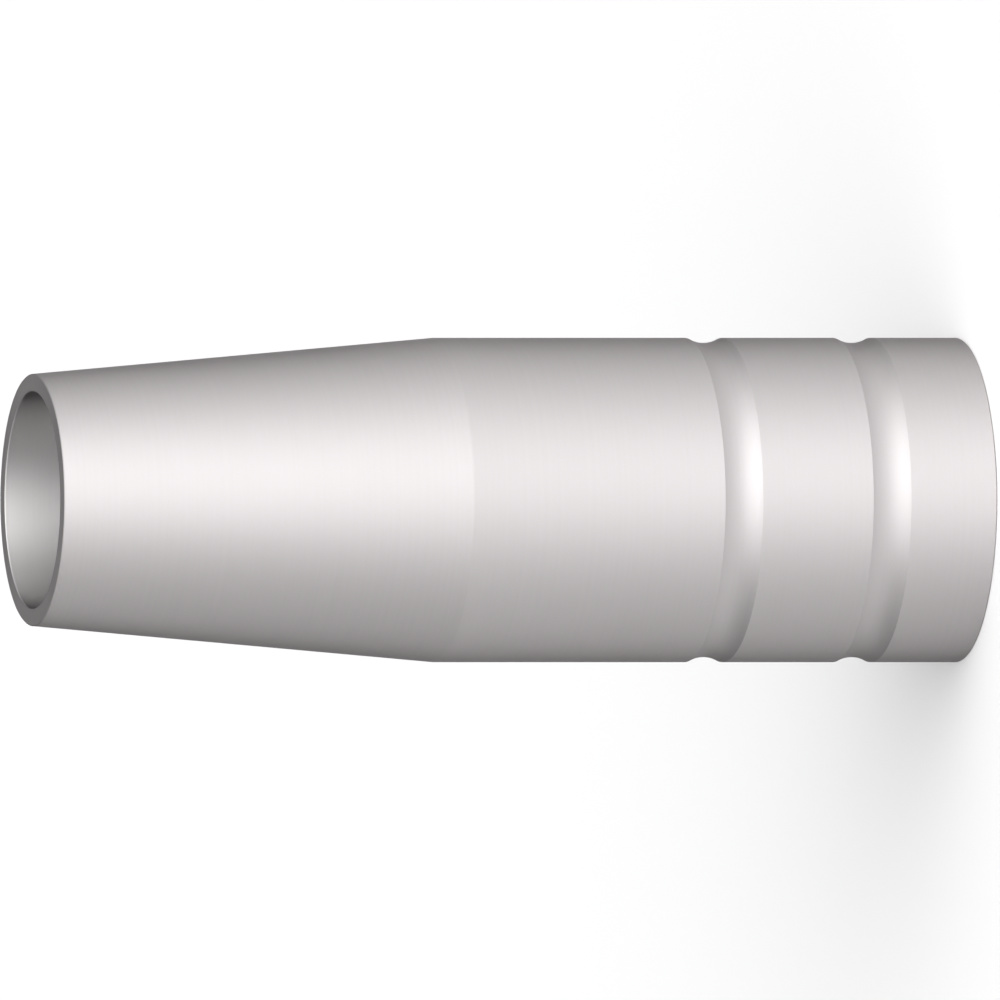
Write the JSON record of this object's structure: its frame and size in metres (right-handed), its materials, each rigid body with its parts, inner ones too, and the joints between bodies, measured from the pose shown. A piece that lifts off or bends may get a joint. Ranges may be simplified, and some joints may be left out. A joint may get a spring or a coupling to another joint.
{
  "type": "mig gas nozzle",
  "caption": "Thin copper tube with a straight rear socket, shallow grip grooves and a taper to an open outlet; slips over a welding torch neck and guides shielding gas.",
  "frame": {"origin": "centre of the flat rear face, which the nozzle stands on", "axes": "+Z along the tube's axis, from the rear face to the gas outlet; X and Y are alike, since the part is round"},
  "size_m": [0.018, 0.018, 0.053],
  "materials": {
    "nickel_plated_copper": "satin nickel plate over turned copper"
  },
  "bodies": {
    "root": {"nozzle_body": "nickel_plated_copper"}
  },
  "joints": []
}
